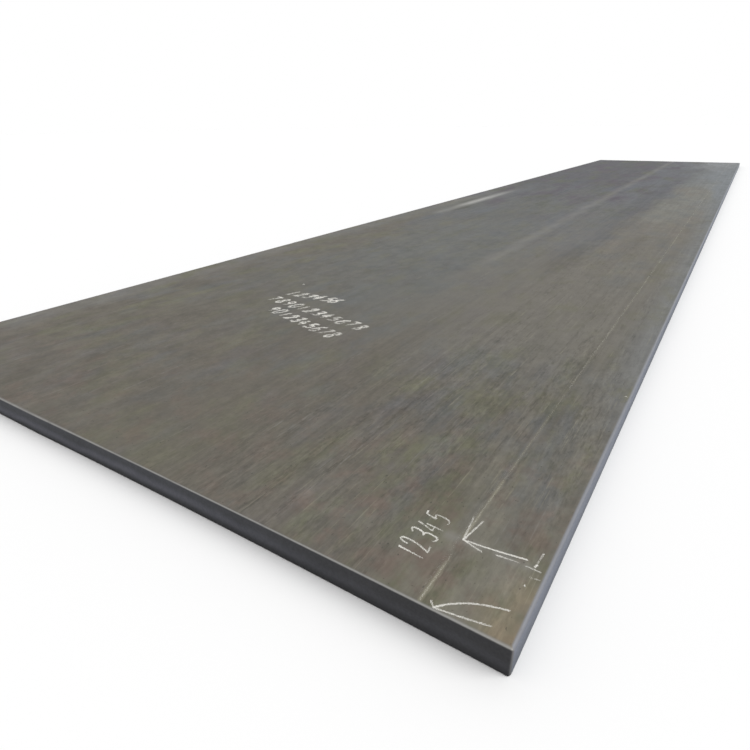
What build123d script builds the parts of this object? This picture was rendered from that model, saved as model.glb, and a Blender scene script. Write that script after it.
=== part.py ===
import os

from build123d import *

# Heavy steel plate, rolled longer than needed and cut to length with a torch.
# X runs across the width, Y along the rolling direction and Z up from the face it rests on.
# The origin is the middle of that face. All lengths are in millimetres.

# Finished size of the plate
plate_length = 12150
plate_width = 2500
plate_thickness = 65

# Stock left at each end for the torch to cut away
end_trim = 100

# Long edges: the upper arris is rounded over
long_arris_radius = 8

# Ends: the cut face leans back from foot to top, and its outer arrises are melted round
end_lean = 1.5
end_arris_radius = 4

# Lower arris, broken all round so that the plate sits and slides without a burr
lower_arris_break = 1.5


with BuildPart() as steel_plate:
    # Rolled stock: the cross-section with its two upper arrises rounded
    with BuildSketch(Plane.XZ) as section:
        Rectangle(plate_width, plate_thickness, align=(Align.CENTER, Align.MIN))
        upper_corners = section.vertices().group_by(Axis.Y)[-1]
        fillet(upper_corners, radius=long_arris_radius)
    extrude(amount=plate_length / 2 + end_trim, both=True)

    # Torch cuts: each end face meets the finished length just above the broken lower arris
    for end in (-1, 1):
        torch_plane = Plane(
            origin=(0, end * plate_length / 2, lower_arris_break),
            x_dir=(1, 0, 0),
            z_dir=(0, end * plate_thickness, end_lean),
        )
        split(bisect_by=torch_plane, keep=Keep.BOTTOM)

    # Melted arris: across the top of each cut, round the long arrises and down the four corners
    faces_along_length = steel_plate.faces().sort_by(Axis.Y)
    for cut_face in (faces_along_length[0], faces_along_length[-1]):
        foot_edge = cut_face.edges().sort_by(Axis.Z)[0]
        fillet([edge for edge in cut_face.edges() if edge != foot_edge], radius=end_arris_radius)

    # Broken lower arris round the whole underside
    underside = steel_plate.faces().sort_by(Axis.Z)[0]
    chamfer(underside.edges(), length=lower_arris_break)

steel_plate.part.label = "steel_plate"

os.makedirs("parts", exist_ok=True)
export_step(steel_plate.part, "parts/steel_plate.step")
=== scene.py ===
import math
import random

import bpy
from mathutils import Matrix, Vector
from mathutils.geometry import delaunay_2d_cdt


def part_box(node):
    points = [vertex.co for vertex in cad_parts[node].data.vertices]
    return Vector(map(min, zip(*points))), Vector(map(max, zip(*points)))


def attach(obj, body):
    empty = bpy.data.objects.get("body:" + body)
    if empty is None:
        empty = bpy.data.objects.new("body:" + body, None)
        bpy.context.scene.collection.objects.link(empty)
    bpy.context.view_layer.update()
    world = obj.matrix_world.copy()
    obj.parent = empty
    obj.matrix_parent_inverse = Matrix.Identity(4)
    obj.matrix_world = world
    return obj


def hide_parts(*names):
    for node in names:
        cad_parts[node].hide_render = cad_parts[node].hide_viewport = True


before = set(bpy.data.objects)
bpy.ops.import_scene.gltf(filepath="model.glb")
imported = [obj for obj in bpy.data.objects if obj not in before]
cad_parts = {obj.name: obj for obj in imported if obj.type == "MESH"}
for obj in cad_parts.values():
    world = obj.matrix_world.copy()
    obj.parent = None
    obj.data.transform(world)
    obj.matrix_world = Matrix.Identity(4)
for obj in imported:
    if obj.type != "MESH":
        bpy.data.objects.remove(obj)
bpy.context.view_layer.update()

plateLow, plateHigh = (Vector(corner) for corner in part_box("steel_plate"))
halfWidth = plateHigh.x
halfLength = plateHigh.y
thickness = plateHigh.z
quarterTurn = math.radians(90)


class Wire:  # a socket in a node tree: arithmetic on it adds Math nodes, make adds any other node
    def __init__(self, tree, socket=None):
        self.tree = tree
        self.socket = socket

    def make(self, kind, settings=None, inputs=None, output=0):
        node = self.tree.nodes.new(kind)
        for name, value in (settings or {}).items():
            setattr(node, name, value)
        for name, value in (inputs or {}).items():
            if isinstance(value, Wire):
                self.tree.links.new(value.socket, node.inputs[name])
            else:
                node.inputs[name].default_value = value
        if isinstance(output, tuple):
            return [Wire(self.tree, node.outputs[name]) for name in output]
        return Wire(self.tree, node.outputs[output])

    def math(self, operation, *values):
        return self.make("ShaderNodeMath", {"operation": operation}, dict(enumerate(values)))

    def __add__(self, other):
        return self.math("ADD", self, other)

    def __radd__(self, other):
        return self.math("ADD", other, self)

    def __sub__(self, other):
        return self.math("SUBTRACT", self, other)

    def __rsub__(self, other):
        return self.math("SUBTRACT", other, self)

    def __mul__(self, other):
        return self.math("MULTIPLY", self, other)

    def __rmul__(self, other):
        return self.math("MULTIPLY", other, self)

    def __truediv__(self, other):
        return self.math("DIVIDE", self, other)

    def __rtruediv__(self, other):
        return self.math("DIVIDE", other, self)

    def __abs__(self):
        return self.math("ABSOLUTE", self)

    def orMore(self, other):  # the larger of the two
        return self.math("MAXIMUM", self, other)

    def atMost(self, limit):  # the smaller of the two
        return self.math("MINIMUM", self, limit)

    def fade(self, low, high):  # 0 at low, 1 at high, smooth between; low may be the larger of the two
        limits = {"Value": self, "From Min": low, "From Max": high}
        return self.make("ShaderNodeMapRange", {"interpolation_type": "SMOOTHSTEP"}, limits)

    def tint(self, under, over):  # this mask lays the colour over on the colour under
        return self.make("ShaderNodeMix", {"data_type": "RGBA"}, {0: self, 6: under, 7: over}, 2)

    def scaled(self, amount):  # a colour or vector times a number
        return self.make("ShaderNodeVectorMath", {"operation": "SCALE"}, {0: self, "Scale": amount})

    def plus(self, other):
        return self.make("ShaderNodeVectorMath", {"operation": "ADD"}, {0: self, 1: other})

    def noise(self, acrossSize, alongSize, shift, detail=2.0, roughness=0.5):  # blotches of this size
        sizes = {0: self, 1: (1 / acrossSize, 1 / alongSize, 1 / acrossSize), 2: (shift, shift, shift)}
        spot = self.make("ShaderNodeVectorMath", {"operation": "MULTIPLY_ADD"}, sizes)
        inputs = {"Vector": spot, "Scale": 1.0, "Detail": detail, "Roughness": roughness}
        return self.make("ShaderNodeTexNoise", None, inputs)


def colour(red, green, blue):  # screen values from 0 to 255, as the linear colour that a socket takes
    return (*[((value / 255 + 0.055) / 1.055) ** 2.4 for value in (red, green, blue)], 1.0)


def grey(level):
    return (level, level, level, 1.0)


def addObject(name, data):
    made = bpy.data.objects.new(name, data)
    bpy.context.scene.collection.objects.link(made)
    return made


def startFinish(name):
    material = bpy.data.materials.new(name)
    material.use_nodes = True
    return material, Wire(material.node_tree), material.node_tree.nodes["Principled BSDF"]


def feed(shader, inputs):  # links or fixed values, straight onto the shader's own sockets
    for name, value in inputs.items():
        if isinstance(value, Wire):
            value.tree.links.new(value.socket, shader.inputs[name])
        else:
            shader.inputs[name].default_value = value


def startTree(name, inputs):
    tree = bpy.data.node_groups.new(name, "GeometryNodeTree")
    tree.interface.new_socket("Geometry", in_out="INPUT", socket_type="NodeSocketGeometry")
    for label, kind in inputs.items():
        tree.interface.new_socket(label, in_out="INPUT", socket_type="NodeSocket" + kind)
    tree.interface.new_socket("Geometry", in_out="OUTPUT", socket_type="NodeSocketGeometry")
    entry = tree.nodes.new("NodeGroupInput")
    return tree, {label: Wire(tree, entry.outputs[label]) for label in ("Geometry", *inputs)}


def endTree(geometry, material):  # realized and given its material, because the export drops instances
    whole = geometry.make("GeometryNodeRealizeInstances", None, {0: geometry})
    dressed = geometry.make("GeometryNodeSetMaterial", None, {"Geometry": whole, "Material": material})
    leave = geometry.tree.nodes.new("NodeGroupOutput")
    geometry.tree.links.new(dressed.socket, leave.inputs["Geometry"])


def runTree(host, tree, values):
    modifier = host.modifiers.new(tree.name, "NODES")
    modifier.node_group = tree
    for item in tree.interface.items_tree:
        if item.in_out == "INPUT" and item.name in values:
            modifier[item.identifier] = values[item.name]
    shaped = host.evaluated_get(bpy.context.evaluated_depsgraph_get())
    mesh = bpy.data.meshes.new_from_object(shaped)
    host.modifiers.remove(modifier)
    return mesh


# Mill scale: the oxide skin of the rolled faces, the torch-cut ends, the long edges and the worn arrises,
# with painted sheen on the far part, painted light and shade on the cut faces and a painted highlight on the
# arrises
millScale = {
    "nearBrown": colour(104, 100, 92),
    "middleGrey": colour(103, 104, 101),
    "rightBeige": colour(112, 109, 102),
    "farGrey": colour(89, 89, 92),
    # painted sheen: the pale colour of the far part
    "farPaleSheen": colour(119, 123, 126),
    "olive": colour(107, 106, 90),
    "russet": colour(112, 100, 92),
    "mauve": colour(99, 95, 97),
    "slate": colour(99, 103, 105),
    "blueGrey": colour(98, 100, 102),
    "warmCorner": colour(132, 121, 103),
    "nearCorner": colour(122, 119, 108),
    "leftRim": colour(117, 115, 110),
    # painted sheen at the far end
    "farCornerSheen": colour(132, 134, 136),
    "farBeige": colour(119, 118, 111),
    # painted reflection: a bluish cast on the far part
    "farBlueSheen": colour(100, 102, 107),
    "farWarm": colour(118, 112, 104),
    "farSlate": colour(96, 100, 106),
    "farOlive": colour(93, 95, 86),
    "farMauve": colour(91, 86, 93),
    "paleStreak": colour(138, 136, 131),
    "paleHair": colour(142, 138, 121),
    "scrape": colour(182, 181, 177),
    "freckle": colour(70, 68, 64),
    # End face colours: darker in part as painted shade, with a crest of painted light and a foot of painted
    # shade
    "endCut": colour(84, 85, 89),
    "endCutRight": colour(74, 74, 76),
    "endCrestPaintedLight": colour(104, 105, 113),
    "endFootPaintedShade": colour(60, 60, 62),
    # Long edge colours: lighter and bluer in part as painted sky light, with a foot of painted shade
    "longCut": colour(119, 123, 133),
    "longFootPaintedShade": colour(100, 104, 112),
    # Arris colours: bare steel with a painted highlight
    "bareEndAndHighlight": colour(166, 165, 162),
    "bareLongAndHighlight": colour(128, 130, 136),
    # Across, from the near end, half width, half length, and depth, which is below 0 in a paler place
    "smudges": [
        (0.58, 2.8, 0.13, 0.6, 0.16),
        (0.85, 3.4, 0.1, 0.5, 0.1),
        (0.6, 5.8, 0.16, 3.4, 0.13),
        (-0.4, 4.6, 0.3, 0.7, 0.07),
        (-0.89, 4.5, 0.05, 0.3, 0.25),
        (-0.9, 6.0, 0.12, 0.9, -0.09),
        (1.0, 1.5, 0.14, 0.3, -0.08),
        (1.0, 0.62, 0.03, 0.32, 0.07),
        (0.85, 0.7, 0.12, 0.15, 0.07),
        (0.72, 0.8, 0.08, 0.16, -0.06),
        (0.88, 1.1, 0.14, 0.22, -0.07),
        (1.09, 0.035, 0.05, 0.05, -0.1),
        (1.1, 0.27, 0.12, 0.11, 0.06),
        (1.2, 0.1, 0.08, 0.11, -0.1),
        (0.2, 11.6, 0.4, 1.2, -0.1),
    ],
    "smudgeWander": 0.1,
    "seamAcross": 0.191,
    "seamDrift": -0.0062,  # across for each metre along
    "seamHalf": 0.075,
    "guideAcross": 1.0708,
    "guideDrift": 0.005,
    "guideHalf": 0.007,
    "dustAlong": 0.187,
    "dustHalf": 0.022,
    "scrapeAcross": -0.972,
    "scrapeHalf": 0.088,
    "scrapeStrength": 0.65,
    "fleckDepth": 0.2,
    "fleckGround": 1.005,  # tone between the flecks
    "freckleStrength": 0.6,
    "scaleRoughness": 0.72,
    "bareRoughness": 0.45,
    "specular": 0.12,
    "bareMetal": 0.4,
    "bumpDepth": 0.0005,
    "bumpStrength": 0.4,
}


def millScaleFinish(look):
    material, wire, shader = startFinish("millScale")
    place = wire.make("ShaderNodeTexCoord", output="Object")
    across, along, up = wire.make("ShaderNodeSeparateXYZ", None, {0: place}, (0, 1, 2))
    fromNear = along + halfLength
    height = up * (1 / thickness)

    def mask(name):
        return wire.make("ShaderNodeAttribute", {"attribute_name": name}, None, "Fac")

    # Rolled faces: the tone changes slowly from one end to the other, with wandering borders; the far part is
    # paler and bluer as painted sheen
    wander = place.noise(0.35, 1.1, 3.1, 3.0) - 0.5
    reach = fromNear + wander * 2.5
    side = across + wander * 0.6
    rolled = reach.fade(0.6, 2.4).tint(look["nearBrown"], look["middleGrey"])
    right = side.fade(0.0, 0.6) * reach.fade(0.6, 1.8) * reach.fade(8.0, 5.0)
    rolled = right.tint(rolled, look["rightBeige"])
    rolled = (side.fade(-0.5, -1.0) * reach.fade(5.0, 3.2)).tint(rolled, look["nearBrown"])
    rolled = (reach.fade(4.5, 7.5) * side.fade(0.9, 0.0)).tint(rolled, look["farGrey"])
    # Painted sheen: the far right part paler and bluer
    rolled = (reach.fade(3.0, 8.0) * side.fade(0.45, 1.15)).tint(rolled, look["farPaleSheen"])
    beige = side.fade(0.65, 0.85) * side.fade(1.2, 1.05) * reach.fade(3.5, 5.5) * reach.fade(8.5, 7.0)
    rolled = (beige * 0.8).tint(rolled, look["farBeige"])
    # Painted reflection: a bluish cast over the middle of the far part
    blue = 0.4 * reach.fade(2.8, 4.0) + 0.6 * reach.fade(4.5, 6.0)
    blue = blue * side.fade(0.0, 0.3) * side.fade(0.8, 0.6)
    rolled = (blue * 0.8).tint(rolled, look["farBlueSheen"])
    # Painted sheen: paler at the far end and in a strip along the right edge
    rolled = (reach.fade(9.5, 11.8) * across.fade(0.35, 0.85)).tint(rolled, look["farCornerSheen"])
    rolled = (across.fade(1.1, 1.24) * fromNear.fade(0.3, 1.6) * 0.5).tint(rolled, look["farPaleSheen"])
    rolled = (across.fade(0.85, 1.15) * reach.fade(1.3, 0.2)).tint(rolled, look["nearCorner"])
    rolled = (across.fade(-1.0, -1.2) * fromNear.fade(7.5, 5.5) * 0.8).tint(rolled, look["leftRim"])

    # Patches of thinner and thicker scale, drawn out along the rolling direction
    nearPart = 0.5 * fromNear.fade(6.0, 4.0) + 0.15 * fromNear.fade(1.3, 0.6)
    nearPart = nearPart + 0.9 * across.fade(0.45, 0.85) * fromNear.fade(1.6, 0.7)
    leftPart = across.fade(-0.4, -0.8) * fromNear.fade(4.2, 3.0)
    rightPart = across.fade(0.4, 0.8) * fromNear.fade(0.1, 0.5) * fromNear.fade(1.4, 0.8)
    frontPart = fromNear.fade(1.0, 0.05) * (0.6 + 0.4 * across.fade(0.5, 0.9))
    farPart = fromNear.fade(2.2, 4.0) * fromNear.fade(9.5, 6.5)
    farLeft = fromNear.fade(3.5, 6.0) * across.fade(0.9, 0.4)
    beigePart = across.fade(0.35, 0.6) * fromNear.fade(1.0, 1.4) * fromNear.fade(2.6, 2.0)
    patches = (  # colour, width, length, shift of its noise, strength, and where on the plate
        ("olive", 0.12, 0.26, 11.7, 0.95, nearPart.orMore(leftPart)),
        ("mauve", 0.12, 0.22, 29.8, 0.5, nearPart * across.fade(1.3, 0.3)),
        ("slate", 0.13, 0.3, 37.9, 0.4, fromNear.fade(-0.6, 0.8) * (1 - beigePart)),
        ("blueGrey", 0.08, 0.4, 41.5, 0.65, rightPart),
        ("russet", 0.08, 0.1, 23.4, 0.8, frontPart),
        ("farWarm", 0.3, 1.1, 43.3, 0.8, farPart * across.fade(0.5, 0.8) * across.fade(1.2, 1.1)),
        ("farSlate", 0.32, 1.2, 47.1, 0.6, farPart * across.fade(0.9, 0.6)),
        ("farOlive", 0.25, 0.9, 53.9, 0.95, farLeft),
        ("farMauve", 0.25, 0.9, 59.7, 0.95, farLeft),
    )
    for name, wide, long, shift, strength, extent in patches:
        patch = place.noise(wide, long, shift, 4.0, 0.62).fade(0.46, 0.7) * strength * extent
        rolled = patch.tint(rolled, look[name])
    corner = across.fade(1.13, 1.24) * fromNear.fade(0.22, 0.03)
    corner = corner * place.noise(0.06, 0.08, 7.7, 2.0).fade(0.25, 0.6)
    rolled = corner.tint(rolled, look["warmCorner"])

    # Broken streaks of the rolls in uneven strips, speckle of the scale, and soft clouds
    strips = place.noise(0.035, 1.6, 61.4, 3.0).fade(0.4, 0.64)
    dashes = place.noise(0.008, 0.034, 51.3, 4.0, 0.6)
    streaks = place.noise(0.018, 0.8, 57.6, 4.0, 0.58)
    bands = place.noise(0.06, 3.5, 63.2, 2.0)
    speckle = place.noise(0.013, 0.018, 71.9, 4.0, 0.66)
    mottle = place.noise(0.04, 0.07, 75.3, 3.0)
    clouds = place.noise(0.1, 0.19, 77.7, 4.0, 0.6)
    near = fromNear.fade(2.2, 0.5)
    calmCorner = across.fade(0.75, 1.05) * fromNear.fade(0.5, 0.25)
    calmMiddle = across.fade(0.8, 0.4) * fromNear.fade(0.7, 1.3) * fromNear.fade(3.4, 2.2)
    drawn = near * (0.02 + 0.73 * across.fade(0.1, 0.75) - 0.22 * across.fade(0.45, 0.95))
    drawn = 0.78 + drawn + 0.25 * fromNear.fade(3.0, 6.0) - 0.4 * calmCorner
    drawn = drawn * (1 - 0.2 * calmMiddle)
    left = across.fade(0.55, -0.2) * fromNear.fade(4.0, 2.5)
    middle = across.fade(-0.3, 0.1) * across.fade(0.8, 0.5) * fromNear.fade(2.6, 1.6)
    patterns = (  # strength all over, added on the left, added in the middle
        (streaks, 0.45, -0.4, 0.0),
        (speckle, 0.38, 0.35, 0.0),
        (mottle, 0.35, 0.25, -0.1),
        (clouds, 0.45, 0.4, -0.35),
        (bands, 0.16, -0.1, 0.0),
    )
    tone = (dashes - 0.5) * (0.2 + 0.75 * strips) * (1 - 0.85 * left)
    for pattern, allOver, onLeft, inMiddle in patterns:
        tone = tone + (pattern - 0.5) * (allOver + onLeft * left + inMiddle * middle)
    rolled = rolled.scaled(1 + tone * drawn)

    # Marks on the upper face: flecks, pale threads, a seam, chalk dust, a guide, hairs, a scrape and smudges
    unmarked = rolled
    flecks = place.noise(0.006, 0.07, 85.7, 2.0).fade(0.54, 0.74) * strips.fade(-0.4, 0.6)
    flecks = flecks * across.fade(0.35, 0.8) * fromNear.fade(0.2, 0.6) * fromNear.fade(5.0, 2.0)
    rolled = rolled.scaled(look["fleckGround"] - flecks * look["fleckDepth"])
    threads = place.noise(0.011, 0.6, 83.1, 2.0).fade(0.62, 0.78) * dashes.fade(0.4, 0.62) * 0.5
    waver = (place.noise(0.9, 0.3, 89.0, 3.0) - 0.5) * 0.1
    seam = abs(across - look["seamAcross"] - fromNear * look["seamDrift"] + waver).fade(look["seamHalf"], 0.0)
    seam = seam * fromNear.fade(1.7, 2.9) * (0.05 + 0.55 * place.noise(0.05, 0.3, 91.0, 3.0))
    dust = abs(fromNear - look["dustAlong"]).fade(look["dustHalf"], 0.0)
    dust = dust * across.fade(1.0, 1.05) * across.fade(1.24, 1.2) * mottle.fade(0.3, 0.6) * 0.5
    drift = look["guideDrift"] * fromNear.fade(0.9, 2.2)
    guide = abs(across - look["guideAcross"] - drift).fade(look["guideHalf"], 0.0)
    guide = guide * abs(fromNear - 0.165).fade(0.02, 0.04) * place.noise(0.4, 0.1, 93.0, 3.0).fade(0.25, 0.6)
    guide = guide * (0.27 + 0.43 * fromNear.fade(0.7, 0.3))
    rolled = threads.orMore(seam).orMore(dust).tint(rolled, look["paleStreak"])
    hairs = place.noise(0.0048, 0.3, 105.3, 1.0).fade(0.62, 0.78) * dashes.fade(0.35, 0.55)
    hairs = hairs * (0.2 + 0.3 * across.fade(0.5, 0.8)) * across.fade(-0.4, 0.2) * fromNear.fade(3.5, 1.2)
    rolled = hairs.orMore(guide).tint(rolled, look["paleHair"])
    scrape = abs(across - look["scrapeAcross"] + waver * 0.3).fade(look["scrapeHalf"], 0.0)
    scrape = scrape * (0.4 + 1.2 * place.noise(0.03, 0.3, 97.0, 3.0)) * look["scrapeStrength"]
    scrape = scrape * fromNear.fade(4.0, 4.2) * (0.3 + 0.7 * fromNear.fade(4.45, 4.9))
    rolled = (scrape * fromNear.fade(6.5, 5.1)).tint(rolled, look["scrape"])
    wandering = across + (mottle - 0.5) * look["smudgeWander"]
    for x, y, wide, long, depth in look["smudges"]:
        spanX = (wandering - x) * (1 / wide)
        spanY = (fromNear - y) * (1 / long)
        rolled = rolled.scaled(1 - (spanX * spanX + spanY * spanY).fade(1.0, 0.0) * depth)
    rolled = height.fade(0.4, 0.6).tint(unmarked, rolled)  # the underside stays unmarked

    # Dark freckles on both rolled faces
    freckles = place.noise(0.006, 0.009, 101.5, 1.0).fade(0.72, 0.78) * look["freckleStrength"]
    rolled = freckles.tint(rolled, look["freckle"])

    # Torch-cut ends, darker in part as painted shade: a painted lighter crest at half height, a painted shade
    # at the foot, and fine drag lines from top to foot
    drag = place.noise(0.006, 0.006, 113.0, 3.0, 0.6)
    cloudy = place.noise(0.12, 0.3, 127.0, 3.0)
    endCut = across.fade(0.3, 1.1).tint(look["endCut"], look["endCutRight"])
    endCut = height.fade(0.45, 0.0).tint(endCut, look["endFootPaintedShade"])
    crest = (1 - abs(height - 0.4 - (cloudy - 0.5) * 0.4) * 3.4).fade(0.0, 1.0)
    endCut = (crest * (0.9 - 0.7 * across.fade(0.2, 1.0))).tint(endCut, look["endCrestPaintedLight"])
    endCut = endCut.scaled(1 + (drag - 0.5) * 0.5 + (cloudy - 0.5) * 0.45)

    # Long edges: lighter blue-grey, partly painted sky light, and darker towards the foot as painted shade
    longCut = (height + (cloudy - 0.5) * 0.5).fade(0.0, 0.8).tint(look["longFootPaintedShade"], look["longCut"])
    longCut = longCut.scaled(1 + (drag - 0.5) * 0.3 + (cloudy - 0.5) * 0.3)

    # Arrises: scale rubbed through to steel, in uneven lengths, which also carries a painted highlight
    uneven = (place.noise(0.05, 0.05, 131.0, 4.0, 0.6) - 0.5) * 0.9
    endRubAndHighlight = mask("endArris") * (0.62 + 0.3 * across.fade(-1.0, 1.0) + uneven).fade(0.0, 1.0)
    longRubAndHighlight = mask("longArris") * (0.85 + uneven).fade(0.0, 1.0) * (0.75 + 0.25 * fromNear.fade(1.2, 0.5))
    whole = mask("endCut").tint(rolled, endCut)
    whole = mask("longCut").tint(whole, longCut)
    whole = endRubAndHighlight.tint(whole, look["bareEndAndHighlight"])
    whole = longRubAndHighlight.tint(whole, look["bareLongAndHighlight"])

    rubbed = endRubAndHighlight.orMore(longRubAndHighlight)
    rough = look["scaleRoughness"] + (speckle - 0.5) * 0.25 + (dashes - 0.5) * 0.25
    rough = rough - rubbed * (look["scaleRoughness"] - look["bareRoughness"])
    relief = speckle * 0.8 + dashes * 0.6 - freckles * 0.8 + threads * 0.4
    bump = {"Strength": look["bumpStrength"], "Distance": look["bumpDepth"], "Height": relief}
    feed(shader, {
        "Base Color": whole,
        "Roughness": rough,
        "Metallic": rubbed * look["bareMetal"],
        "Specular IOR Level": look["specular"],
        "Normal": wire.make("ShaderNodeBump", None, bump),
    })
    return material


# Plate: rows of mesh run round its edge, from the upper face over the arris and down to the underside
plate = {
    "longArris": 0.008,
    "endArris": 0.004,
    "endLean": 0.0015,
    "lowerBreak": 0.0015,
    "cornerRound": 0.004,
    "leastRound": 0.0005,  # plan rounding of the rows further in
    "rubShift": 1.3,  # above 1 the rub and painted highlight of the end arris lie nearer the cut face
    "footRub": 0.4,  # of the lower arris
    "holdStrip": 0.006,  # keeps each face flat up to its arris
    "arrisSteps": 6,
    "faceRows": 12,
    "cornerSteps": 6,
    "endStep": 0.0025,
    "longStep": 0.02,
    "upperGrid": 0.11,
    "underGrid": 0.35,
    "waveFade": 0.3,  # the rolled faces wave only this far in from their edges
    "relief": {
        "Wave Height": 0.0012,
        "Wave Length": 0.9,
        "Drag Depth": 0.0007,
        "Drag Pitch": 0.009,
        "Nick Depth": 0.006,
        "Nick Size": 0.03,
        "Nick Level": 0.08,
        "Bow Depth": 0.006,
        "Bow Middle": 0.55,
        "Bow Reach": 0.8,
        "Seed": 4.0,
    },
}


def edgeRows(arris, lean):  # inset from the outer line, and height, of each row
    foot = plate["lowerBreak"]
    shoulder = thickness - arris
    rows = [(lean + arris + plate["holdStrip"], thickness)]
    for step in range(plate["arrisSteps"] + 1):
        turn = quarterTurn * step / plate["arrisSteps"]
        rows.append((lean + arris * (1 - math.sin(turn)), shoulder + arris * math.cos(turn)))
    for step in range(1, plate["faceRows"] + 1):
        rise = 1 - step / plate["faceRows"]
        rows.append((lean * rise, foot + (shoulder - foot) * rise))
    return rows + [(foot, 0.0), (foot + plate["holdStrip"], 0.0)]


def rowMarks():  # how far each row is rubbed end arris, rubbed long arris (both with a painted highlight) and edge face
    steps = plate["arrisSteps"]
    shares = [step / steps for step in range(steps + 1)]
    endRubAndHighlight = [math.sin(math.pi * share ** plate["rubShift"]) ** 2 for share in shares]
    longRubAndHighlight = [math.sin(math.pi * share) for share in shares]
    unrubbed = [(0.0, 0.0, 0.0)]
    faceMarks = [(0.0, 0.0, 1.0)] * plate["faceRows"]
    footMarks = [(plate["footRub"], plate["footRub"], 1.0)]
    return unrubbed + list(zip(endRubAndHighlight, longRubAndHighlight, shares)) + faceMarks + footMarks + unrubbed


def planRing(longRow, endRow):  # one row right round the plan, with each point's share of end
    reach = Vector((halfWidth - longRow[0], halfLength - endRow[0]))
    bend = max(plate["cornerRound"] - min(longRow[0], endRow[0]), plate["leastRound"])

    def cornerSpot(quarter, angle):
        side = quarterTurn * (quarter + 0.5)
        x = math.copysign(reach.x - bend, math.cos(side))
        y = math.copysign(reach.y - bend, math.sin(side))
        return Vector((x, y)) + bend * Vector((math.cos(angle), math.sin(angle)))

    ring = []
    for quarter in range(4):
        for step in range(plate["cornerSteps"] + 1):
            angle = quarterTurn * (quarter + step / plate["cornerSteps"])
            ring.append((cornerSpot(quarter, angle), math.sin(angle) ** 2))
        onEnd = quarter % 2 == 0
        count = round(2 * (halfWidth / plate["endStep"] if onEnd else halfLength / plate["longStep"]))
        start = ring[-1][0]
        target = cornerSpot(quarter + 1, quarterTurn * (quarter + 1))
        for step in range(1, count):
            ring.append((start.lerp(target, step / count), 1.0 if onEnd else 0.0))
    rise = endRow[1] - longRow[1]
    spots = [Vector((*spot, longRow[1] + rise * share)) for spot, share in ring]
    return spots, [share for spot, share in ring]


def fillRing(outline, grid, level):  # triangles over a ring's inside, on a grid of points
    reach = Vector((max(spot.x for spot in outline) - grid / 2, max(spot.y for spot in outline) - grid / 2))
    columns, rows = (round(2 * extent / grid) for extent in reach)
    inner = [Vector((reach.x * (2 * i / columns - 1), reach.y * (2 * j / rows - 1)))
             for i in range(columns + 1) for j in range(rows + 1)]
    count = len(outline)
    fence = [(i, (i + 1) % count) for i in range(count)]
    flat = [spot.xy for spot in outline] + inner
    found = delaunay_2d_cdt(flat, fence, [], 1, 1e-7)  # 1 keeps what is inside the fence
    triangles, origins = found[2:4]
    return [Vector((*spot, level)) for spot in inner], [[origins[i][0] for i in face] for face in triangles]


def plateMesh():
    spots, faces = [], []
    marks = {name: [] for name in ("endArris", "longArris", "endCut", "longCut", "upper")}
    longRows = edgeRows(plate["longArris"], 0.0)
    endRows = edgeRows(plate["endArris"], plate["endLean"])
    rings = list(zip(longRows, endRows, rowMarks()))
    for longRow, endRow, (endMark, longMark, faceMark) in rings:
        ring, shares = planRing(longRow, endRow)
        spots += ring
        marks["endArris"] += [endMark * share for share in shares]
        marks["longArris"] += [longMark * (1 - share) for share in shares]
        marks["endCut"] += [faceMark * share for share in shares]
        marks["longCut"] += [faceMark * (1 - share) for share in shares]
        marks["upper"] += [0.0] * len(ring)
    count = len(ring)
    for row in range(len(rings) - 1):
        for i in range(count):
            j = (i + 1) % count
            faces.append((row * count + i, (row + 1) * count + i, (row + 1) * count + j, row * count + j))
    lastRing = (len(rings) - 1) * count
    fills = ((0, plate["upperGrid"], thickness, 1), (lastRing, plate["underGrid"], 0.0, -1))
    for first, grid, level, flip in fills:
        inner, triangles = fillRing(spots[first:first + count], grid, level)
        innerStart = len(spots)
        spots += inner
        for name in ("endArris", "longArris", "endCut", "longCut"):
            marks[name] += [0.0] * len(inner)
        for spot in inner:
            edgeGap = min(halfWidth - abs(spot.x), halfLength - abs(spot.y))
            marks["upper"].append(min(edgeGap / plate["waveFade"], 1.0) if flip > 0 else 0.0)
        for triangle in triangles:
            corners = [first + i if i < count else innerStart + i - count for i in triangle]
            faces.append(corners[::flip])
    mesh = bpy.data.meshes.new("plateSkin")
    mesh.from_pydata(spots, [], faces)
    for name, values in marks.items():
        mesh.attributes.new(name, "FLOAT", "POINT").data.foreach_set("value", values)
    mesh.polygons.foreach_set("use_smooth", [True] * len(mesh.polygons))
    return mesh


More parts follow.
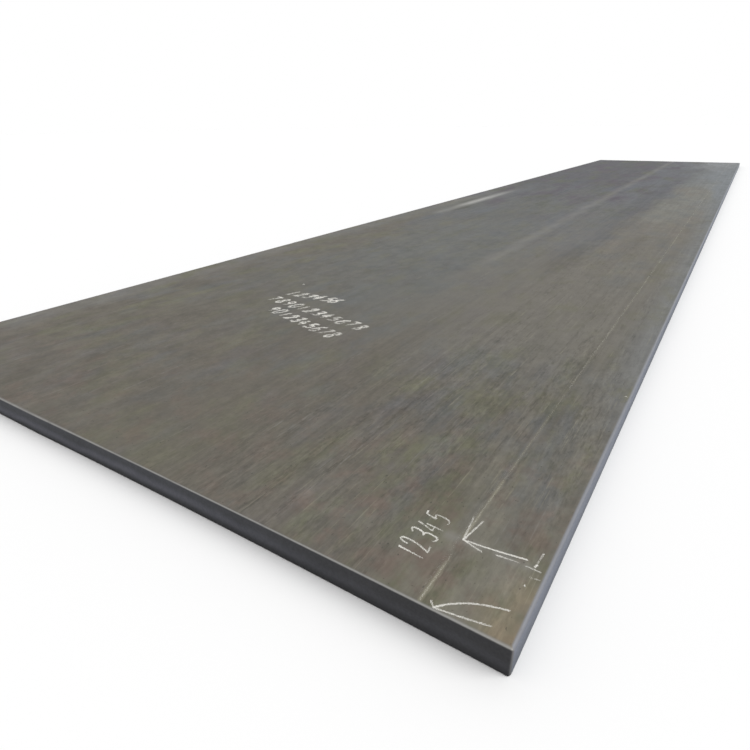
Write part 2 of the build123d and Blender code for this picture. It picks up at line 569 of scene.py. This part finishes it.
def reliefTree(material):  # waves of the upper face, drag lines and bow of the cut ends, nicks in the arrises
    labels = {label: "Float" for label in plate["relief"]}
    tree, given = startTree("plateRelief", labels)
    geometry = given["Geometry"]
    place = geometry.make("GeometryNodeInputPosition")
    normal = geometry.make("GeometryNodeInputNormal")

    def mask(name):
        return geometry.make("GeometryNodeInputNamedAttribute", {"data_type": "FLOAT"}, {"Name": name})

    def ripple(size):  # soft noise between about -0.5 and 0.5
        inputs = {"Vector": place, "W": given["Seed"], "Scale": 1 / size}
        return geometry.make("ShaderNodeTexNoise", {"noise_dimensions": "4D"}, inputs) - 0.5

    wave = ripple(given["Wave Length"]) * given["Wave Height"] * mask("upper")
    drag = ripple(given["Drag Pitch"]) * given["Drag Depth"] * (mask("endCut") + mask("longCut"))
    nick = (ripple(given["Nick Size"]) - given["Nick Level"]).orMore(0.0)
    nick = nick * given["Nick Depth"] * (mask("endArris") + mask("longArris"))
    across, along = geometry.make("ShaderNodeSeparateXYZ", None, {0: place}, (0, 1))
    bow = (across - given["Bow Middle"]) / given["Bow Reach"]
    bow = (bow * bow).atMost(1.0) * given["Bow Depth"]
    bow = bow * mask("endCut").orMore(mask("endArris")) * along.math("SIGN", along)
    bowed = geometry.make("ShaderNodeCombineXYZ", None, {"Y": bow})
    lift = normal.scaled(wave + drag - nick).plus(bowed)
    moved = geometry.make("GeometryNodeSetPosition", None, {"Geometry": geometry, "Offset": lift})
    endTree(moved, material)
    return tree


millScaleMaterial = millScaleFinish(millScale)
blank = addObject("plateBlank", plateMesh())
skin = addObject("plateSkin", runTree(blank, reliefTree(millScaleMaterial), plate["relief"]))
bpy.data.objects.remove(blank)
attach(skin, "root")
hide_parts("steel_plate")
print("plate:", len(skin.data.polygons), "faces")


# Chalk: strokes drawn on the upper face, in metres across from the middle line and along from the near end
chalk = {
    "tint": colour(230, 228, 221),
    "shade": 0.82,  # darker places of the chalk, as a share of its tint
    "shadeSize": 0.003,
    "roughness": 0.95,
    "specular": 0.1,
    "seed": 11,
    "lift": 0.3,  # share of the pressure lost by the end of a stroke
    "marks": {"Line Width": 0.0044, "Chip Size": 0.0014, "Chip Spacing": 0.000135, "Skip": 0.27},
    "rows": {"Line Width": 0.014, "Chip Size": 0.004, "Chip Spacing": 0.00048, "Skip": 0.28},
    "guideNear": {"Line Width": 0.0043, "Chip Size": 0.0008, "Chip Spacing": 0.00042, "Skip": 0.22},
    "guideFar": {"Line Width": 0.008, "Chip Size": 0.0019, "Chip Spacing": 0.004, "Skip": 0.22},
    "digitWidth": 0.64,  # share of the pitch
    "numberHeight": 0.058,
    "numberPitch": 0.0305,
    "numberSlant": 0.08,
    "rowHeight": 0.064,
    "rowSlant": 0.45,
    "unevenness": 0.4,  # how much the pressure changes along a stroke
    "wobble": 0.06,  # of a digit's place and lean
    "growth": (0.88, 1.1),  # of a digit
    "press": (0.8, 1.1),  # of a digit's strokes
    "spread": 0.75,  # share of the line width over which the chips scatter
    "chipShape": (1.0, 0.8, 0.16),
    "chipGrowth": (0.55, 1.35),
    "gapSize": 0.007,  # of the bare patches in a stroke
    "gapScatter": 0.2,
    "gapHold": 0.3,  # how far pressure fills them
    "dropHeight": 0.02,  # from where the chips fall onto the plate
    "dropReach": 0.06,
}

# Strokes of the digits in a box one wide and one high; a doubled point makes a corner
digitStrokes = {
    "1": [[(0.4, 1.0), (0.46, 0.5), (0.5, 0.0)]],
    "2": [[(0.08, 0.75), (0.2, 1.08), (0.8, 1.05), (0.7, 0.5), (0.08, 0.0), (0.08, 0.0), (0.92, 0.05)]],
    "3": [[(0.22, 0.9), (0.95, 1.15), (0.85, 0.55), (0.35, 0.52), (0.35, 0.52), (1.05, 0.5),
           (0.8, -0.12), (0.08, 0.1)]],
    "4": [[(0.55, 1.0), (0.05, 0.36), (0.05, 0.36), (0.95, 0.4)], [(0.72, 0.7), (0.64, 0.0)]],
    "5": [[(0.88, 1.0), (0.3, 0.98), (0.3, 0.98), (0.2, 0.55), (0.2, 0.55), (0.95, 0.7),
           (0.95, -0.05), (0.08, 0.06)]],
    "6": [[(0.75, 1.0), (0.1, 0.7), (0.05, -0.08), (0.9, -0.1), (0.9, 0.52), (0.15, 0.5), (0.14, 0.25)]],
    "7": [[(0.1, 0.95), (0.92, 1.0), (0.92, 1.0), (0.5, 0.5), (0.4, 0.0)]],
    "8": [[(0.82, 0.88), (0.45, 1.12), (0.05, 0.8), (0.5, 0.55), (0.95, 0.2), (0.5, -0.12),
           (0.05, 0.2), (0.5, 0.5), (0.92, 0.8), (0.6, 1.0)]],
    "9": [[(0.85, 0.85), (0.5, 1.12), (0.05, 0.8), (0.3, 0.45), (0.86, 0.75), (0.86, 0.75),
           (0.7, 0.3), (0.6, 0.0)]],
    "0": [[(0.5, 1.0), (0.02, 0.95), (0.05, -0.02), (0.7, -0.08), (1.0, 0.5), (0.8, 1.05), (0.4, 0.98)]],
}


def writeDigits(digits, start, finish, pressure, up, size, slant):  # one row of plain counting digits
    run = Vector(finish) - Vector(start)
    pitch = run / len(digits)
    wobble = chalk["wobble"]
    strokes = []
    for place, digit in enumerate(digits):
        corner = Vector(start) + pitch * (place + hand.uniform(-wobble, wobble))
        lean = slant + hand.uniform(-wobble, wobble)
        rise = (Vector(up) + pitch.normalized() * lean) * size * hand.uniform(*chalk["growth"])
        for points in digitStrokes[digit]:
            weight = pressure * hand.uniform(*chalk["press"])
            strokes.append(([corner + pitch * chalk["digitWidth"] * x + rise * y for x, y in points], weight))
    return strokes


def chalkCurve(name, strokes):
    curve = bpy.data.curves.new(name, "CURVE")
    curve.dimensions = "3D"
    for points, pressure in strokes:
        spline = curve.splines.new("NURBS")
        spline.points.add(len(points) - 1)
        for step, (point, spot) in enumerate(zip(spline.points, points)):
            point.co = (spot[0], plateLow.y + spot[1], thickness, 1.0)
            lifted = 1 - chalk["lift"] * (step / (len(points) - 1)) ** 2
            point.radius = pressure * lifted * (1 + chalk["unevenness"] * hand.uniform(-1.0, 1.0))
        spline.order_u = 3
        spline.use_endpoint_u = True
    return addObject(name, curve)


def chalkFinish(look):
    material, wire, shader = startFinish("chalk")
    place = wire.make("ShaderNodeTexCoord", output="Object")
    crumb = place.noise(look["shadeSize"], look["shadeSize"], 5.0, 2.0)
    shade = (*[look["shade"] * part for part in look["tint"][:3]], 1.0)
    feed(shader, {
        "Base Color": crumb.fade(0.3, 0.7).tint(shade, look["tint"]),
        "Roughness": look["roughness"],
        "Specular IOR Level": look["specular"],
    })
    return material


def chalkTree(material):  # flat chips scattered along each stroke and dropped onto the plate
    sizes = {label: "Float" for label in chalk["marks"]}
    tree, given = startTree("chalkStroke", {"Plate": "Object", "Seed": "Int", **sizes})
    geometry = given["Geometry"]

    def draw(kind, low, high, turn):  # a random number or vector for each point
        lowSocket, highSocket, output = {"FLOAT": (2, 3, 1), "FLOAT_VECTOR": (0, 1, 0)}[kind]
        inputs = {lowSocket: low, highSocket: high, "Seed": given["Seed"] + turn}
        return geometry.make("FunctionNodeRandomValue", {"data_type": kind}, inputs, output)

    def scatter(reach, turn):
        return draw("FLOAT_VECTOR", (-reach, -reach, 0.0), (reach, reach, 0.0), turn)

    # Points along the strokes, scattered over the line's width
    inputs = {"Curve": geometry, "Length": given["Chip Spacing"]}
    points = geometry.make("GeometryNodeCurveToPoints", {"mode": "LENGTH"}, inputs)
    pressure = geometry.make("GeometryNodeInputRadius")
    offset = scatter(0.5, 1).plus(scatter(0.25, 2)).scaled(given["Line Width"] * chalk["spread"])
    points = geometry.make("GeometryNodeSetPosition", None, {"Geometry": points, "Offset": offset})

    # Bare patches where the chalk skipped
    place = geometry.make("GeometryNodeInputPosition")
    cover = place.noise(chalk["gapSize"], chalk["gapSize"], 3.0, 2.0)
    cover = cover + draw("FLOAT", -chalk["gapScatter"], chalk["gapScatter"], 3)
    cover = cover + (pressure - 1.0) * chalk["gapHold"]
    lost = geometry.make("FunctionNodeCompare", {"operation": "LESS_THAN"}, {0: cover, 1: given["Skip"]})
    inputs = {"Geometry": points, "Selection": lost}
    points = geometry.make("GeometryNodeDeleteGeometry", {"domain": "POINT"}, inputs)

    # Down onto the plate
    space = {"transform_space": "RELATIVE"}
    surface = geometry.make("GeometryNodeObjectInfo", space, {"Object": given["Plate"]}, "Geometry")
    struck, foot = geometry.make("GeometryNodeRaycast", None, {
        "Target Geometry": surface,
        "Source Position": place.plus((0.0, 0.0, chalk["dropHeight"])),
        "Ray Direction": (0.0, 0.0, -1.0),
        "Ray Length": chalk["dropReach"],
    }, ("Is Hit", "Hit Position"))
    inputs = {"Geometry": points, "Selection": struck, "Position": foot}
    points = geometry.make("GeometryNodeSetPosition", None, inputs)

    # One flat chip on each point
    chip = geometry.make("GeometryNodeMeshUVSphere", None, {"Segments": 5, "Rings": 2, "Radius": 0.5})
    chip = geometry.make("GeometryNodeTransform", None, {"Geometry": chip, "Scale": chalk["chipShape"]})
    turned = draw("FLOAT_VECTOR", (0.0, 0.0, 0.0), (0.0, 0.0, 4 * quarterTurn), 4)
    grown = draw("FLOAT", *chalk["chipGrowth"], 5) * given["Chip Size"] * pressure
    inputs = {"Points": points, "Instance": chip, "Rotation": turned, "Scale": grown}
    endTree(geometry.make("GeometryNodeInstanceOnPoints", None, inputs), material)
    return tree


hand = random.Random(chalk["seed"])
strokeTree = chalkTree(chalkFinish(chalk))
digitRows = [
    ("123456", (-0.434, 1.337), (-0.108, 1.35), 1.2),
    ("789012345678", (-0.448, 1.232), (0.2, 1.095), 1.0),
    ("9012345678", (-0.337, 1.105), (0.147, 0.958), 1.0),
]
rows = [([(-0.465, 1.53), (-0.455, 1.515)], 0.75)]  # a dab above the rows
for digits, start, finish, pressure in digitRows:
    rows += writeDigits(digits, start, finish, pressure, (0.0, 1.0), chalk["rowHeight"], chalk["rowSlant"])
numberDigits = "12345"
numberStart = (1.028, 0.088)
numberFinish = (numberStart[0], numberStart[1] + len(numberDigits) * chalk["numberPitch"])
number = writeDigits(
    numberDigits, numberStart, numberFinish, 1.0, (-1.0, 0.0), chalk["numberHeight"], chalk["numberSlant"])

# Arrow, tick, specks, corner mark and guide: points of each stroke and its pressure
tip = (1.0727, 0.190)
cornerTip = (1.0996, 0.0045)
marks = [
    ([tip, (1.063, 0.268)], 0.75),
    ([tip, (1.086, 0.265)], 0.75),
    ([tip, (1.118, 0.178)], 1.1),
    ([tip, (1.14, 0.194), (1.203, 0.205)], 1.25),
    ([(1.146, 0.185), (1.192, 0.189)], 0.65),
    ([(1.225, 0.239), (1.222, 0.196)], 0.8),
    ([(1.2235, 0.202), (1.221, 0.193)], 1.3),
    ([(1.205, 0.188), (1.235, 0.186)], 0.75),
    ([(1.222, 0.163), (1.240, 0.166)], 0.9),
    ([(1.219, 0.1385), (1.2205, 0.1395)], 1.6),
    ([(1.089, 0.0156), cornerTip], 1.0),
    ([cornerTip, (1.138, 0.054), (1.2165, 0.069)], 1.1),
    ([cornerTip, (1.15, 0.011), (1.2015, 0.0217)], 1.05),
    ([(1.232, 1.04), (1.24, 1.038)], 1.2),
]
guideNear = [
    ([(1.0708, 0.007), (1.0708, 0.14)], 1.0),
    ([(1.0708, 0.2), (1.0708, 0.4)], 0.9),
    ([(1.0708, 0.4), (1.071, 1.0)], 0.7),
    ([(1.063, 0.02), (1.063, 0.5)], 0.4),
]
guideFar = [([(1.071, 1.0), (1.0755, 2.2), (1.0758, 11.9)], 0.75)]

chalkPieces = (
    ("chalkRows", rows, "rows"),
    ("chalkNumber", number, "marks"),
    ("chalkMarks", marks, "marks"),
    ("chalkGuideNear", guideNear, "guideNear"),
    ("chalkGuideFar", guideFar, "guideFar"),
)
for name, strokes, sizes in chalkPieces:
    drawn = chalkCurve(name + "Strokes", strokes)
    values = {"Plate": skin, "Seed": chalk["seed"], **chalk[sizes]}
    piece = addObject(name, runTree(drawn, strokeTree, values))
    bpy.data.objects.remove(drawn)
    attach(piece, "root")
    print(name, len(piece.data.polygons), "faces")


# Stage: a white floor, a soft sky and one broad light from the right
stage = {
    "floorReach": 80.0,
    "floorGap": 0.0005,
    "floorWhite": 1.0,
    "floorBounce": 0.42,
    "skyFill": 0.6,
    "sunStrength": 2.1,
    "sunSpread": math.radians(50),
    "sunHeight": math.radians(37),
    "sunTurn": math.radians(12),  # from +X towards +Y
    "lens": 25.865,
    "sensor": 36.0,
    "clipEnd": 500.0,
    "cameraPlace": (1.3965, plateLow.y - 0.6265, thickness + 0.78175),
    "cameraYaw": math.radians(33.256),
    "cameraPitch": math.radians(25.146),
    "cameraRoll": math.radians(0.828),
}


def seenDirectly(wire):  # 1 for what the camera sees itself, in a mirror or through glass
    camera, glossy, transmission = wire.make(
        "ShaderNodeLightPath", None, None, ("Is Camera Ray", "Is Glossy Ray", "Is Transmission Ray"))
    return camera.orMore(glossy).orMore(transmission)


def floorFinish(look):
    material, wire, shader = startFinish("paleFloor")
    shade = seenDirectly(wire).tint(grey(look["floorBounce"]), grey(look["floorWhite"]))
    feed(shader, {"Base Color": shade, "Roughness": 1.0, "Specular IOR Level": 0.0})
    return material


reach = stage["floorReach"]
floorMesh = bpy.data.meshes.new("floor")
corners = ((-reach, -reach), (reach, -reach), (reach, reach), (-reach, reach))
floorMesh.from_pydata([(x, y, -stage["floorGap"]) for x, y in corners], [], [(0, 1, 2, 3)])
floorMesh.materials.append(floorFinish(stage))
floor = addObject("floor", floorMesh)

world = bpy.data.worlds.new("softSky")
world.use_nodes = True
bpy.context.scene.world = world
skyFill = stage["skyFill"]
skyStrength = seenDirectly(Wire(world.node_tree)) * (1 - skyFill) + skyFill
feed(world.node_tree.nodes["Background"], {"Color": grey(1.0), "Strength": skyStrength})

sun = bpy.data.lights.new("broadLight", "SUN")
sun.energy = stage["sunStrength"]
sun.angle = stage["sunSpread"]
sunLevel = math.cos(stage["sunHeight"])
sunX = sunLevel * math.cos(stage["sunTurn"])
sunY = sunLevel * math.sin(stage["sunTurn"])
sunObject = addObject("broadLight", sun)
sunFrom = Vector((sunX, sunY, math.sin(stage["sunHeight"])))
sunObject.rotation_euler = sunFrom.to_track_quat("Z", "Y").to_euler()

lens = bpy.data.cameras.new("camera")
lens.sensor_width = stage["sensor"]
lens.lens = stage["lens"]
lens.clip_end = stage["clipEnd"]
camera = addObject("camera", lens)
turnZ = Matrix.Rotation(stage["cameraYaw"], 4, "Z")
turnX = Matrix.Rotation(quarterTurn - stage["cameraPitch"], 4, "X")
turnRoll = Matrix.Rotation(-stage["cameraRoll"], 4, "Z")
camera.matrix_world = Matrix.Translation(stage["cameraPlace"]) @ turnZ @ turnX @ turnRoll
bpy.context.scene.camera = camera
bpy.context.scene.view_settings.view_transform = "Standard"
print("stage: floor, sky, light and camera")
